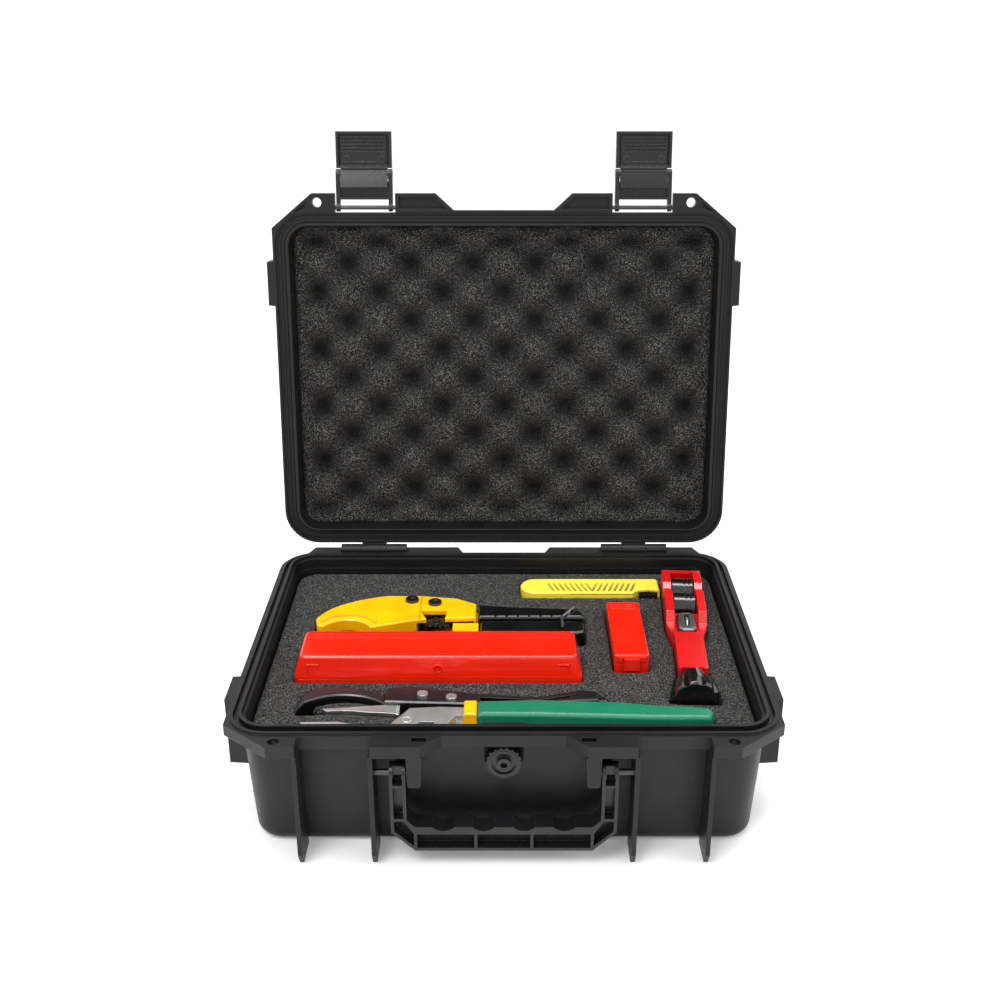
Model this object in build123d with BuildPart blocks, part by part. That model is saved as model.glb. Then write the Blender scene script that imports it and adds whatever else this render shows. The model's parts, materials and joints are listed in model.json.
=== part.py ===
"""A plumbing tool case, standing open: hard plastic shell, latches, carry handle, cut foam and the tools it holds.

Millimetres, +Z up. The origin is the middle of the base's underside, +X is to the right, and the latches and the
handle face -Y. The lid and all that it carries are modelled shut, square to the base, and then turned open about the
hinge. Each tool is modelled where it lies in its pocket.
"""
from build123d import *
import os
from math import cos, radians, sin

os.makedirs("parts", exist_ok=True)

# ---------------------------------------------------------------- driving dimensions
case_half_x, case_half_y = 170.0, 127.0      # flange outline, half width and half depth
rim_z = 86.4                                 # top face of the base's flange
lid_gap = 0.3                                # between the two flanges when shut
lid_depth = 38.0                             # from the lid's mating face to its outer top
flange_thick = 7.5
rim_low = rim_z - flange_thick               # underside of the base's flange
wall = 3.0
mouth_half_x, mouth_half_y = 161.5, 119.0    # outside of the walls at the flange
foot_half_x, foot_half_y = 157.0, 114.5      # outside of the walls at the bottom
flange_radius, wall_radius = 26.0, 18.0
ear_front = -139.1                           # front edge of the ears beside the latches
latch_edge = -127.5                          # flange edge behind each latch

hinge_y, hinge_z = 132.7, rim_z + lid_gap / 2
open_angle = 97.2
hinge_pin_radius, hinge_barrel_radius = 2.0, 4.6
pin_play = 0.06                              # radial clearance of every hinge pin in its running bore

guard_x = (77.8, 122.9)                      # where each pair of latch guards starts, from the middle
guard_thick = 2.8
latch_x = (guard_x[0] + guard_thick + guard_x[1]) / 2
latch_half = 20.6                            # half width of a latch link
latch_pin_y, latch_pin_z = -128.9, rim_z + lid_gap + 4.0
latch_pin_radius = 1.5
lever_pin_y, lever_pin_z = -132.8, latch_pin_z - 23.4
lever_tip_z = latch_pin_z - 53.6
lip_low = 77.4                               # underside of the lip that the latch hooks

handle_pin_y, handle_pin_z = -132.5, 65.0
handle_pin_radius = 2.0
handle_half_out, handle_half_in = 68.3, 58.6
handle_front, handle_back = -139.0, -126.0

valve_z = 65.3
valve_bore_radius = 6.2

foam_top = 75.0
red_x, red_y, red_low, red_split, red_high = (-138.6, 52.0), (-45.3, -6.3), 45.0, 76.5, 92.0
small_x, small_y, small_low, small_split, small_high = (73.8, 97.2), (-30.0, 47.0), 60.0, 79.2, 85.5
knife_x, knife_y, knife_low, knife_high = (12.5, 116.6), (75.5, 98.5), 66.0, 78.3
cutter_x, cutter_y = 133.2, 95.0             # tube cutter: middle of the head's far end
cutter_across = (cos(radians(3.5)), -sin(radians(3.5)), 0)
pad_top = 8.0
snug = 0.4                                   # between a tool and the foam round it
kerf = 0.05                                  # width of the cuts that divide the base foam
lid_foam_face = rim_z + 12.6                 # egg-crate peaks, lid shut

hinge_line = Axis((0, hinge_y, hinge_z), (1, 0, 0))


# ---------------------------------------------------------------- shared shapes
def slab(half_x, half_y, radius, bottom, top, mode=Mode.ADD):
    """A rounded rectangle about the Z axis, between two heights."""
    with BuildSketch(Plane.XY.offset(bottom)) as face:
        RectangleRounded(2 * half_x, 2 * half_y, radius)
    extrude(face.sketch, amount=top - bottom, mode=mode)


def tub(low, high, bottom, top, radius, mode=Mode.ADD):
    """A tapered rounded box: low and high are its half sizes at the bottom and at the top."""
    with BuildSketch(Plane.XY.offset(bottom)) as floor:
        RectangleRounded(2 * low[0], 2 * low[1], radius)
    with BuildSketch(Plane.XY.offset(top)) as mouth:
        RectangleRounded(2 * high[0], 2 * high[1], radius)
    loft([floor.sketch.faces()[0], mouth.sketch.faces()[0]], mode=mode)


def ring(outside, inside, radius, bottom, top, mode=Mode.ADD):
    """A band that follows the rim, between two distances in from the flange's edge."""
    with BuildSketch(Plane.XY.offset(bottom)) as band:
        RectangleRounded(2 * (case_half_x - outside), 2 * (case_half_y - outside), radius - outside)
        RectangleRounded(2 * (case_half_x - inside), 2 * (case_half_y - inside), radius - inside,
                         mode=Mode.SUBTRACT)
    extrude(band.sketch, amount=top - bottom, mode=mode)


def block(x, y, z, mode=Mode.ADD):
    """A box from its low and high x, y and z."""
    with BuildSketch(Plane.XY.offset(z[0])) as face:
        with Locations(((x[0] + x[1]) / 2, (y[0] + y[1]) / 2)):
            Rectangle(x[1] - x[0], y[1] - y[0])
    extrude(face.sketch, amount=z[1] - z[0], mode=mode)


def tapered(x, y, z, side, front, back, radius, mode=Mode.ADD):
    """A rounded box whose top is drawn in by side at both ends, by front and by back."""
    with BuildSketch(Plane.XY.offset(z[0])) as low_face:
        with Locations(((x[0] + x[1]) / 2, (y[0] + y[1]) / 2)):
            RectangleRounded(x[1] - x[0], y[1] - y[0], radius)
    with BuildSketch(Plane.XY.offset(z[1])) as high_face:
        with Locations(((x[0] + x[1]) / 2, (y[0] + y[1] + front - back) / 2)):
            RectangleRounded(x[1] - x[0] - 2 * side, y[1] - y[0] - front - back, radius)
    loft([low_face.sketch.faces()[0], high_face.sketch.faces()[0]], mode=mode)


def prism(plane, points, depth, mode=Mode.ADD, rounded=0.0):
    """A straight-sided outline on a plane, extruded along the plane's normal."""
    with BuildSketch(plane) as face:
        with BuildLine():
            Polyline(points, close=True)
        make_face()
        if rounded:
            fillet(face.vertices(), rounded)
    extrude(face.sketch, amount=depth, mode=mode)


def plate(points, low, high, mode=Mode.ADD, rounded=0.0):
    """A flat piece with an outline seen from above."""
    prism(Plane.XY.offset(low), points, high - low, mode, rounded)


def rod(axis, at, radius, start, end, mode=Mode.ADD):
    """A round rod along X, Y or Z. at is its other two coordinates, in X, Y, Z order."""
    plane, centre = {
        "x": (Plane.YZ.offset(start), at),
        "y": (Plane.XZ.offset(-end), at),
        "z": (Plane.XY.offset(start), at),
    }[axis]
    with BuildSketch(plane) as face:
        with Locations(centre):
            Circle(radius)
    extrude(face.sketch, amount=end - start, mode=mode)


def save(builder, name, opened=False):
    """Labels a finished piece and writes its STEP file, turned open with the lid if it rides on it."""
    if opened:
        builder.part = builder.part.rotate(hinge_line, -open_angle)
    builder.part.label = name
    export_step(builder.part, f"parts/{name}.step")
    return builder.part


# ---------------------------------------------------------------- case: shells
def flange_outline(plane, height, latch_back, mode=Mode.ADD):
    """The flange that base and lid share: a rounded rectangle with ears beside each latch."""
    half = [
        (0, -case_half_y), (36.7, -case_half_y), (50.0, ear_front), (79.2, ear_front), (79.2, latch_back),
        (123.4, latch_back), (123.4, ear_front), (140.3, ear_front), (case_half_x, -114.4),
        (case_half_x, case_half_y), (0, case_half_y),
    ]
    with BuildSketch(plane) as face:
        with BuildLine():
            Polyline(half, close=True)
        make_face()
        back = [v for v in face.vertices() if v.X > 160 and v.Y > 100]
        front = [v for v in face.vertices() if v.X > 160 and v.Y < -100]
        ears = [v for v in face.vertices() if 30 < v.X < 150 and abs(v.X - 101.3) > 23]
        fillet(back, flange_radius)
        fillet(front, 16.0)
        fillet([v for v in face.vertices() if any(abs(v.X - e.X) + abs(v.Y - e.Y) < 0.01 for e in ears)], 1.6)
        mirror(about=Plane.YZ)
    extrude(face.sketch, amount=height, mode=mode)


def side_lug(side, low, high, y_range, mode=Mode.ADD):
    """A thickened block on the side of a shell, with sloping ends."""
    inner, outer = case_half_x - 10.5, case_half_x + 4.8
    front, back = y_range
    points = [(side * inner, front), (side * outer, front + 1.5), (side * outer, back - 1.5), (side * inner, back)]
    if side < 0:
        points.reverse()
    prism(Plane.XY.offset(low), points, high - low, mode)


def knuckle(x0, x1, flange_low, flange_high, mode=Mode.ADD):
    """One hinge knuckle: a round barrel on the hinge line with a web back to its flange."""
    rod("x", (hinge_y, hinge_z), hinge_barrel_radius, x0, x1, mode)
    block((x0, x1), (case_half_y - 2, hinge_y), (flange_low, flange_high), mode)


base_knuckles = [(-127.0, -111.2), (-91.8, -76.0)]
lid_knuckles = [(-110.8, -92.2)]


def ranges(side, spans):
    """Ranges given for the left side, as they are on the left or the right."""
    return [(x0, x1) if side < 0 else (-x1, -x0) for x0, x1 in spans]


def base_hollow():
    """Cuts the space inside the base's walls."""
    tub((foot_half_x - wall + 0.15, foot_half_y - wall + 0.15), (mouth_half_x - wall, mouth_half_y - wall), wall,
        rim_z + 0.01, wall_radius - wall, Mode.SUBTRACT)


def valve_bay():
    """Cuts the shallow bay in the front wall that the valve's knob turns in."""
    with BuildSketch(Plane.XZ.offset(114.0)) as bay:
        with Locations((0, valve_z)):
            Circle(11.6)
        with Locations((0, valve_z + 7.3)):
            Rectangle(23.2, 14.6)
    extrude(bay.sketch, amount=5.0, mode=Mode.SUBTRACT)


# walls and the outer border of the floor
with BuildPart() as base_shell:
    tub((foot_half_x, foot_half_y), (mouth_half_x, mouth_half_y), 0, rim_z, wall_radius)
    fillet(base_shell.faces().sort_by(Axis.Z)[0].edges(), 8.0)
    base_hollow()
    fillet(base_shell.edges().filter_by_position(Axis.Z, wall - 0.01, wall + 0.01), 5.0)
    # valve seat: a thicker patch of the front wall behind the bay
    block((-14, 14), (-116.8, -110.6), (50.0, rim_z - 1))
    valve_bay()
    rod("y", (0, valve_z), valve_bore_radius, -116.0, -109.0, Mode.SUBTRACT)
    slab(mouth_half_x + 1, mouth_half_y + 1, wall_radius, rim_low, rim_z + 1, Mode.SUBTRACT)
    slab(145.0, 102.5, 9.0, -1, wall + 0.1, Mode.SUBTRACT)

with BuildPart() as base_floor:
    slab(145.0, 102.5, 9.0, 0, wall)

# flange with the hinge knuckles and ledges at the back
with BuildPart() as base_rim:
    flange_outline(Plane.XY.offset(rim_low), flange_thick, latch_edge)
    for side in (-1, 1):
        side_lug(side, rim_low, rim_z, (-88.0, -57.0))
        ledge = [(side * 31.0, 126.0), (side * 153.0, 126.0), (side * 148.0, 138.0), (side * 36.0, 138.0)]
        if side < 0:
            ledge.reverse()
        prism(Plane.XY.offset(80.0), ledge, rim_z - 0.3 - 80.0)
        for start, end in ranges(side, lid_knuckles):
            block((start - 0.4, end + 0.4), (case_half_y, 140), (79, rim_z + 1), Mode.SUBTRACT)
            rod("x", (hinge_y, hinge_z), hinge_barrel_radius + 0.5, start - 0.4, end + 0.4, Mode.SUBTRACT)
        for start, end in ranges(side, base_knuckles):
            knuckle(start, end, rim_low, rim_z - 0.3)
            rod("x", (hinge_y, hinge_z), hinge_pin_radius, start - 1, end + 1, Mode.SUBTRACT)
    block((-14, 14), (-116.8, -110.6), (rim_low, rim_z - 1))
    base_hollow()
    block((-14, 14), (-116.8, -110.6), (rim_low, rim_z - 1))
    valve_bay()
    # outer ridge, sealing groove and tongue
    ring(1.8, 4.0, flange_radius, rim_z - 0.5, rim_z + 1.2)
    ring(4.0, 7.2, flange_radius, rim_z - 1.5, rim_z, Mode.SUBTRACT)
    ring(7.2, 9.4, flange_radius, rim_z - 2.0, rim_z + 2.6)
    # padlock holes and the little slots in the inner ears
    for side in (-1, 1):
        rod("z", (side * 136.4, -132.6), 3.5, rim_low - 1, rim_z + 2, Mode.SUBTRACT)
        block((side * 50.5 - 4.5, side * 50.5 + 4.5), (-133.0, -128.2), (rim_z - 3.0, rim_z + 1), Mode.SUBTRACT)

# what hangs below the flange: two guards beside each latch, the lip between them, handle brackets and side lugs
with BuildPart() as base_guards:
    for x in (-guard_x[1] - guard_thick, -guard_x[0] - guard_thick, guard_x[0], guard_x[1]):
        prism(Plane.YZ.offset(x),
              [(-117.4, rim_low), (ear_front + 0.1, rim_low), (ear_front + 0.1, 8), (-134.4, 0), (-107, 0),
               (-107, 2.4), (-113, 6.2)], guard_thick)
    for side in (-1, 1):
        near, far = sorted((side * (guard_x[0] + guard_thick), side * guard_x[1]))
        block((near + kerf, far - kerf), (latch_edge, -117.6), (lip_low, rim_low))
        prism(Plane.XZ.offset(128.5),
              [(side * 48.4, rim_low), (side * 58.0, rim_low), (side * 57.4, 59.0), (side * 56.4, 57.9),
               (side * 50.6, 57.9), (side * 49.6, 59.0)], 10.5)
        near, far = sorted((side * 50.5, side * 53.5))
        block((near, far), (-129.5, -117.5), (62, rim_low))
        side_lug(side, 40.0, rim_low, (-88.0, -57.0))
        pin_from, pin_to = sorted((side * 50.9, side * 81.0))
        rod("x", (handle_pin_y, handle_pin_z), handle_pin_radius, pin_from, pin_to, Mode.SUBTRACT)
    tub((foot_half_x, foot_half_y), (mouth_half_x, mouth_half_y), 0, rim_z, wall_radius, Mode.SUBTRACT)

with BuildPart() as lid_shell:
    lid_low = rim_z + lid_gap
    tub((mouth_half_x, mouth_half_y), (foot_half_x + 1.0, foot_half_y + 1.0), lid_low, lid_low + lid_depth, wall_radius)
    fillet(lid_shell.faces().sort_by(Axis.Z)[-1].edges(), 9.0)
    flange_outline(Plane.XY.offset(lid_low), flange_thick - 0.5, -125.4)
    for side in (-1, 1):
        side_lug(side, lid_low, lid_low + 20.0, (-91.4, -56.4))
        for x0, x1 in lid_knuckles:
            start, end = (x0, x1) if side < 0 else (-x1, -x0)
            knuckle(start, end, lid_low + 0.2, lid_low + flange_thick - 0.5)
        for x0, x1 in base_knuckles:
            start, end = (x0, x1) if side < 0 else (-x1, -x0)
            rod("x", (hinge_y, hinge_z), hinge_barrel_radius + 0.5, start - 0.4, end + 0.4, Mode.SUBTRACT)
    # two stiffening ribs across the outside
    for x in (-104.0, 60.0):
        block((x, x + 44.0), (-100, 100), (lid_low + lid_depth - 1, lid_low + lid_depth + 1.6))
    # hollow
    tub((mouth_half_x - wall, mouth_half_y - wall), (foot_half_x + 1.0 - wall, foot_half_y + 1.0 - wall),
        lid_low - 0.01, lid_low + lid_depth - wall, wall_radius - wall, Mode.SUBTRACT)
    roof = lid_low + lid_depth - wall
    fillet(lid_shell.edges().filter_by_position(Axis.Z, roof - 0.01, roof + 0.01), 6.0)
    # rim: the recess that takes the base's ridges, and the groove that holds the gasket
    ring(1.6, 9.7, flange_radius, lid_low - 0.01, lid_low + 3.0, Mode.SUBTRACT)
    ring(3.5, 8.6, flange_radius, lid_low + 2.9, lid_low + 5.6, Mode.SUBTRACT)
    # pockets in the mating face of the ears
    for side in (-1, 1):
        prism(Plane.XY.offset(lid_low - 0.01),
              [(side * 41.6, -128.0), (side * 50.6, -136.6), (side * 76.8, -136.6), (side * 76.8, -128.0)], 3.6,
              Mode.SUBTRACT)
        prism(Plane.XY.offset(lid_low - 0.01),
              [(side * 144.6, -132.8), (side * 144.6, -128.6), (side * 153.5, -125.6)], 3.6, Mode.SUBTRACT)
        rod("z", (side * 136.4, -132.6), 3.5, lid_low - 1, lid_low + flange_thick + 1, Mode.SUBTRACT)
        pin_from, pin_to = sorted((side * 77.5, side * 125.6))
        rod("x", (latch_pin_y, latch_pin_z), latch_pin_radius, pin_from, pin_to, Mode.SUBTRACT)
        for x0, x1 in lid_knuckles:
            start, end = (x0, x1) if side < 0 else (-x1, -x0)
            rod("x", (hinge_y, hinge_z), hinge_pin_radius + pin_play, start - 1, end + 1, Mode.SUBTRACT)

save(base_shell, "base_shell")
save(base_floor, "base_floor")
save(base_rim, "base_rim")
save(base_guards, "base_guards")
save(lid_shell, "lid_shell", opened=True)


# ---------------------------------------------------------------- case: seal, foams and hinge pins
with BuildPart() as lid_gasket:
    ring(3.7, 8.4, flange_radius, lid_low + 2.6, lid_low + 5.5)
    ring(5.4, 6.7, flange_radius, lid_low + 2.5, lid_low + 3.2, Mode.SUBTRACT)
save(lid_gasket, "lid_gasket", opened=True)

with BuildPart() as lid_foam:
    tub((156.9, 114.4), (154.4, 111.9), lid_foam_face, roof - 0.3, 17.0)
    chamfer(lid_foam.faces().sort_by(Axis.Z)[-1].edges(), 6.5)
save(lid_foam, "lid_foam", opened=True)

with BuildPart() as floor_pad:
    slab(149.0, 106.5, 11.0, wall + 0.1, pad_top)
save(floor_pad, "floor_pad")

with BuildPart() as lid_hinge_pins:
    for start, end in ((-127.0, -76.0), (76.0, 127.0)):
        rod("x", (hinge_y, hinge_z), hinge_pin_radius, start, end)
    chamfer(lid_hinge_pins.edges().filter_by(GeomType.CIRCLE), 0.4)
save(lid_hinge_pins, "lid_hinge_pins")


# ---------------------------------------------------------------- case: latches, modelled shut and hanging
def stand_latch(builder, name):
    """Turns a shut latch piece to where it leans when the latch is open, and saves it with the lid."""
    pin_line = Axis((0, latch_pin_y, latch_pin_z), (1, 0, 0))
    builder.part = builder.part.rotate(pin_line, -90)
    save(builder, name, opened=True)


for side, hand in ((-1, "left"), (1, "right")):
    middle = side * latch_x
    low_x, high_x = middle - latch_half, middle + latch_half

    with BuildPart() as latch_link:
        # cover plate, its two cross bars and the side walls that carry both pins
        block((low_x, high_x), (-134.4, -132.4), (lever_pin_z + 5.0, latch_pin_z - 5.6))
        block((low_x, high_x), (-134.4, -129.0), (latch_pin_z - 7.0, latch_pin_z - 5.6))
        for start, end in ((low_x, low_x + 3.0), (high_x - 3.0, high_x)):
            prism(Plane.YZ.offset(start),
                  [(-134.4, lever_pin_z), (-134.4, latch_pin_z - 5.0), (-131.4, latch_pin_z + 0.4),
                   (-127.9, latch_pin_z - 1.0), (-128.4, latch_pin_z - 8), (-129.0, lever_pin_z)], end - start)
            rod("x", (latch_pin_y, latch_pin_z), 2.9, start, end)
            rod("x", (lever_pin_y, lever_pin_z), 3.8, start, end)
            rod("x", (latch_pin_y, latch_pin_z), latch_pin_radius + pin_play, start - 1, end + 1, Mode.SUBTRACT)
            rod("x", (lever_pin_y, lever_pin_z), 1.25, start - 1, end + 1, Mode.SUBTRACT)
        fillet(latch_link.edges().filter_by(Axis.X).sort_by(Axis.Y)[0:2], 0.8)
    stand_latch(latch_link, f"latch_{hand}_link")

    with BuildPart() as latch_lever:
        narrow = (middle - 17.1, middle + 17.1)
        rod("x", (lever_pin_y, lever_pin_z), 3.2, *narrow)
        # nose that hooks under the base's lip
        prism(Plane.YZ.offset(narrow[0]),
              [(-135.2, lever_pin_z), (-130.4, lever_pin_z + 5.0), (-128.6, lip_low - 1.2), (-126.4, lip_low - 0.3),
               (-125.9, lip_low - 1.4), (-127.2, lever_pin_z + 4.4), (-129.6, lever_pin_z - 3.0)], 34.2)
        # tray-shaped grip: outer plate, walls round it and the raised inner plate
        block(narrow, (-137.0, -131.0), (lever_pin_z - 5.0, lever_pin_z))
        block((low_x + 0.4, high_x - 0.4), (-137.0, -131.4), (lever_tip_z, lever_pin_z - 4.4))
        block((low_x + 2.2, high_x - 2.2), (-135.4, -131.3), (lever_tip_z + 1.8, lever_pin_z - 6.0), Mode.SUBTRACT)
        block((middle - 16.6, middle + 16.6), (-135.6, -132.4), (lever_tip_z + 3.4, lever_pin_z - 4.0))
        for step in range(4):
            groove_z = lever_tip_z + 5.0 + 2.5 * step
            block((middle - 15.6, middle + 15.6), (-133.8, -132.3), (groove_z, groove_z + 1.2), Mode.SUBTRACT)
        for across in (-12.6, 12.6):
            rod("y", (middle + across, lever_pin_z - 10.4), 2.7, -134.0, -131.6)
            rod("y", (middle + across, lever_pin_z - 10.4), 1.5, -132.4, -131.5, Mode.SUBTRACT)
        block((middle - 9.0, middle + 9.0), (-133.0, -131.9), (lever_pin_z - 9.2, lever_pin_z - 8.6))
        rod("x", (lever_pin_y, lever_pin_z), 1.25 + pin_play, low_x, high_x, Mode.SUBTRACT)
        fillet(latch_lever.edges().filter_by(Axis.X).sort_by(Axis.Y)[0:2], 0.8)
    stand_latch(latch_lever, f"latch_{hand}_lever")

    with BuildPart() as lever_pin:
        rod("x", (lever_pin_y, lever_pin_z), 1.25, low_x + 0.1, high_x - 0.1)
    stand_latch(lever_pin, f"latch_{hand}_lever_pin")

with BuildPart() as latch_pins:
    for start, end in ((-125.5, -77.6), (77.6, 125.5)):
        rod("x", (latch_pin_y, latch_pin_z), latch_pin_radius, start, end)
save(latch_pins, "latch_pins", opened=True)


# ---------------------------------------------------------------- case: carry handle and pressure valve
def handle_arch(inset, grip_top, plane_y, depth, mode=Mode.ADD):
    """The handle's arms and grip, seen from the front, drawn in by inset from the edges."""
    outer, inner = handle_half_out - inset, handle_half_in + inset
    half = [(outer, handle_pin_z), (outer, 25.6 + inset * 0.4), (53.9 - inset * 0.4, 12.2 + inset),
            (0, 12.2 + inset), (0, grip_top), (53.6 + inset * 0.5, grip_top), (inner, 34.4),
            (inner, handle_pin_z)]
    with BuildSketch(Plane.XZ.offset(-plane_y)) as face:
        with BuildLine():
            Polyline(half, close=True)
        make_face()
        mirror(about=Plane.YZ)
    extrude(face.sketch, amount=-depth, mode=mode)


with BuildPart() as carry_handle:
    handle_arch(0.0, 29.4, handle_front, handle_back - handle_front)
    for side in (-1, 1):
        start, end = sorted((side * handle_half_in, side * handle_half_out))
        rod("x", (handle_pin_y, handle_pin_z), 6.5, start, end)
    # finger grooves across the top of the grip
    for x in (-36.75, -12.25, 12.25, 36.75):
        rod("y", (x, 29.4 + 6.4), 9.2, handle_front - 1, handle_back + 1, Mode.SUBTRACT)
    # pockets in the front, below the finger grooves, with ribs between them
    handle_arch(1.9, 24.4, handle_front, 7.0, Mode.SUBTRACT)
    for x in (-53.6, -17.0, 17.0, 53.6):
        block((x - 0.9, x + 0.9), (handle_front, handle_back - 2), (13.0, 25.0))
    for side in (-1, 1):
        start, end = sorted((side * handle_half_in, side * handle_half_out))
        for z in (58.6, 34.6):
            block((start + 0.5, end - 0.5), (handle_front, handle_back - 2), (z - 0.8, z + 0.8))
        # the fork round the pin
        block((start + 2.2, end - 2.2), (handle_front - 1, handle_pin_y - 2.9), (59.4, 73.0), Mode.SUBTRACT)
        rod("x", (handle_pin_y, handle_pin_z), handle_pin_radius + pin_play, start - 1, end + 1, Mode.SUBTRACT)
save(carry_handle, "carry_handle")

with BuildPart() as handle_pins:
    for start, end in ((-80.9, -51.0), (51.0, 80.9)):
        rod("x", (handle_pin_y, handle_pin_z), handle_pin_radius, start, end)
save(handle_pins, "handle_pins")

with BuildPart() as valve_body:
    rod("y", (0, valve_z), valve_bore_radius, -118.4, -110.6)
    rod("y", (0, valve_z), 7.8, -110.6, -110.1)
    rod("y", (0, valve_z), 2.2, -119.0, -107.0, Mode.SUBTRACT)
save(valve_body, "valve_body")

with BuildPart() as valve_seal:
    with BuildSketch(Plane.YZ) as section:
        with Locations((-114.9, valve_z + 7.4)):
            Circle(0.85)
    revolve(section.sketch, Axis((0, 0, valve_z), (0, 1, 0)))
save(valve_seal, "valve_seal")

with BuildPart() as valve_knob:
    rod("y", (0, valve_z), 10.2, -124.6, -115.9)
    for step in range(18):
        turn = radians(20 * step)
        rod("y", (9.9 * cos(turn), valve_z + 9.9 * sin(turn)), 1.1, -124.2, -116.4)
    rod("y", (0, valve_z), 9.0, -125.2, -124.0)
    rod("y", (0, valve_z), 7.4, -126.0, -123.4, Mode.SUBTRACT)
    rod("y", (0, valve_z), 4.6, -126.6, -118.6)
    rod("y", (0, valve_z), 2.0, -127.0, -123.0, Mode.SUBTRACT)
    rod("y", (0, valve_z), valve_bore_radius + 0.3, -118.6, -115.0, Mode.SUBTRACT)
save(valve_knob, "valve_knob")


# ---------------------------------------------------------------- base foam with a pocket for each tool
def pocket(points, floor, rounded=3.0):
    """A pocket in the foam with an outline seen from above and a flat floor."""
    prism(Plane.XY.offset(floor), points, foam_top - floor + 0.1, Mode.SUBTRACT, rounded)


def box_pocket(x, y, floor):
    pocket([(x[0], y[0]), (x[1], y[0]), (x[1], y[1]), (x[0], y[1])], floor, 2.0)


with BuildPart() as base_foam:
    tub((153.4, 110.9), (156.9, 114.4), pad_top + 0.1, foam_top, 14.0)
    chamfer(base_foam.faces().sort_by(Axis.Z)[0].edges(), 3.0)
    block((-15.5, 15.5), (-116.0, -104.6), (48.0, foam_top + 1), Mode.SUBTRACT)
    box_pocket((red_x[0] - snug, red_x[1] + snug), (red_y[0] - 0.6, red_y[1] + 4.6), red_low - 0.2)
    box_pocket((small_x[0] - snug, small_x[1] + snug), (small_y[0] - 3.0, small_y[1] + 4.6), small_low - 0.2)
    box_pocket((knife_x[0] - snug, knife_x[1] + snug), (knife_y[0] - snug, knife_y[1] + snug), knife_low - 0.2)
    with BuildSketch(Plane(origin=(cutter_x, cutter_y, 50.0), x_dir=cutter_across, z_dir=(0, 0, 1))) as bed:
        with BuildLine():
            Polyline((-14.7, 0.5), (-14.7, -75.0), (-10.4, -96.0), (-10.4, -135.5), (-12.4, -138.6),
                     (-17.6, -168.0), (17.6, -168.0), (12.4, -138.6), (10.4, -135.5), (10.4, -96.0),
                     (14.7, -75.0), (14.7, 0.5), close=True)
        make_face()
        fillet(bed.vertices(), 0.8)
    extrude(bed.sketch, amount=foam_top - 49.9, mode=Mode.SUBTRACT)
    # pipe cutter, locking pliers with the island inside their jaw, groove-joint pliers
    pocket([(-134.5, 12.0), (-134.5, 29.0), (-128.0, 41.5), (-116.6, 51.5), (-101.5, 59.6), (-83.0, 64.6),
            (-58.0, 64.3), (-33.0, 60.2), (-18.5, 52.0), (12.0, 48.2), (57.8, 44.5), (57.8, 3.0), (-58.0, 3.0),
            (-70.0, 10.0), (-92.0, 8.5)], 59.4, 2.0)
    pocket([(-132.8, -85.0), (-130.9, -68.0), (-124.8, -55.4), (-113.0, -52.6), (-102.0, -53.2), (-91.4, -57.4),
            (-78.5, -62.5), (-64.3, -55.2), (-19.4, -65.1), (21.6, -69.4), (48.7, -61.1), (67.2, -63.6), (67.2, -76.0),
            (46.0, -77.5), (-8.0, -81.0), (-60.0, -79.0), (-64.8, -87.6), (-88.0, -85.4), (-100.0, -83.8),
            (-112.0, -84.4)], 51.8, 1.5)
    pocket([(-127.2, -111.0), (-127.2, -101.0), (-101.6, -100.4), (-84.3, -105.6), (-72.2, -104.8), (-60.5, -85.0),
            (-40.0, -83.2), (-26.0, -79.8), (-16.0, -79.4), (21.2, -78.0), (69.2, -80.2), (93.2, -83.8),
            (117.2, -85.6), (128.8, -87.4), (132.4, -94.0), (131.0, -111.0)], 51.6, 1.0)
    plate([(-122.0, -77.5), (-121.0, -72.1), (-111.0, -67.9), (-101.0, -66.6), (-91.0, -68.1), (-82.0, -72.0),
           (-80.0, -75.2), (-86.0, -76.8), (-98.0, -76.4), (-110.0, -77.3)], 51.7, 73.0)
    # the block is glued up from simple bars, cut along the edges of the pockets
    block((-160, 160), (-118, 118), (44.8, 44.8 + kerf), Mode.SUBTRACT)
    for y in (-47.8, 0.6, 70.0):
        block((-160, 160), (y, y + kerf), (44.8, foam_top + 1), Mode.SUBTRACT)
    for x in (red_x[0] - snug - kerf, red_x[1] + snug, small_x[0] - snug - kerf, small_x[1] + snug):
        block((x, x + kerf), (-47.8, 70.0), (44.8, foam_top + 1), Mode.SUBTRACT)
    for x in (-76.0, -60.0, 68.0, 112.0):
        block((x, x + kerf), (-118, -47.8), (44.8, foam_top + 1), Mode.SUBTRACT)
    for x in (knife_x[0] - snug - kerf, 112.0):
        block((x, x + kerf), (70.0, 118), (44.8, foam_top + 1), Mode.SUBTRACT)
    block((-160, 160), (-118, -47.8), (51.5, 51.5 + kerf), Mode.SUBTRACT)
    block((-160, 112), (-79.8, -79.8 + kerf), (51.5, foam_top + 1), Mode.SUBTRACT)
    block((-139.0, 98.0), (0.6, 70.0), (59.4 - kerf, 59.4), Mode.SUBTRACT)
    block((knife_x[0], 118.0), (70.0, 118.0), (knife_low - 0.2 - kerf, knife_low - 0.2), Mode.SUBTRACT)
save(base_foam, "base_foam")


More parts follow.
